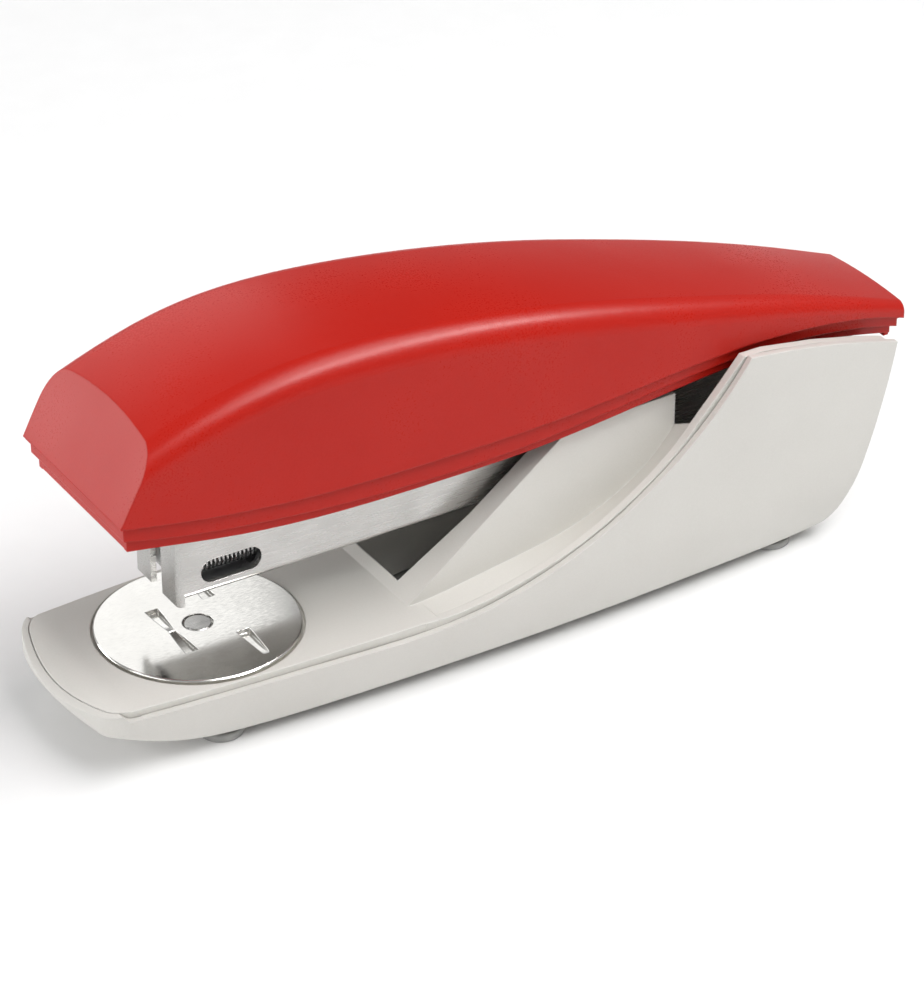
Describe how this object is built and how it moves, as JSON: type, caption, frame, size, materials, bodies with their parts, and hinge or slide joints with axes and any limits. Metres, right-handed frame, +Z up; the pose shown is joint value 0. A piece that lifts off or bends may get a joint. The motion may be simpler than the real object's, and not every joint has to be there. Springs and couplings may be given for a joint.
{
  "type": "desktop stapler",
  "caption": "Desktop stapler with a hinged press cover, a sprung magazine arm, a spring-fed pusher and a turning anvil on a moulded base.",
  "frame": {"origin": "centre of the bounding box on the surface the feet stand on", "axes": "+X to the rear (hinge end), +Z up, nose towards -X"},
  "size_m": [0.1566, 0.0404, 0.0646],
  "materials": {
    "cover_red": "satin red moulding, fine grain",
    "shell_grey": "satin warm light grey moulding",
    "deck_grey": "satin warm light grey moulding",
    "nickel": "nickel-plated sheet steel",
    "anvil_chrome": "polished bright plate",
    "zinc": "zinc-plated steel",
    "spring_steel": "spring wire",
    "blade_steel": "hardened strip",
    "foot_rubber": "grey rubber",
    "button_grey": "dark grey moulding"
  },
  "bodies": {
    "base": {"base_shell": "shell_grey", "base_deck": "deck_grey", "base_frame": "zinc", "foot_front_left": "foot_rubber", "foot_front_right": "foot_rubber", "foot_rear_left": "foot_rubber", "foot_rear_right": "foot_rubber", "base_screws": "zinc", "lift_spring": "spring_steel", "anvil_spring": "spring_steel", "hinge_pin": "zinc", "hinge_clip": "spring_steel"},
    "anvil_mount": {"anvil_pivot": "nickel", "anvil_button": "button_grey"},
    "anvil_plate": {"anvil_disc": "anvil_chrome"},
    "arm": {"magazine_channel": "nickel", "staple_rail": "zinc", "rail_rivets": "zinc", "spring_seat": "zinc", "cover_spring": "spring_steel", "feed_spring": "spring_steel"},
    "follower": {"pusher": "zinc"},
    "cover": {"cover_shell": "cover_red", "cover_skirt": "cover_red", "press_lever": "zinc", "driver_blade": "blade_steel", "blade_rivets": "zinc", "cover_screws": "zinc"}
  },
  "joints": [
    {"name": "arm_hinge", "type": "hinge", "parent": "base", "child": "arm", "pos_m": [0.06633, 0, 0.0309], "axis": [0, 1, 0], "range_deg": [-4, 35], "stiffness_Nm_per_rad": 1.2, "springref_deg": 2.58, "deforming": ["lift_spring"]},
    {"name": "cover_hinge", "type": "hinge", "parent": "arm", "child": "cover", "pos_m": [0.06633, 0, 0.0309], "axis": [0, 1, 0], "range_deg": [-2.8, 40], "stiffness_Nm_per_rad": 0.8, "springref_deg": 2.06, "deforming": ["cover_spring"]},
    {"name": "pusher_slide", "type": "slide", "parent": "arm", "child": "follower", "axis": [1, 0, 0], "range_m": [0, 0.068], "stiffness_N_per_m": 25, "springref_m": -0.05, "deforming": ["feed_spring"]},
    {"name": "anvil_lift", "type": "slide", "parent": "base", "child": "anvil_mount", "axis": [0, 0, 1], "range_m": [0, 0.002], "stiffness_N_per_m": 400, "springref_m": -0.002, "deforming": ["anvil_spring"]},
    {"name": "anvil_turn", "type": "hinge", "parent": "anvil_mount", "child": "anvil_plate", "pos_m": [-0.05167, 0, 0.0134], "axis": [0, 0, 1], "range_deg": [0, 180]}
  ]
}
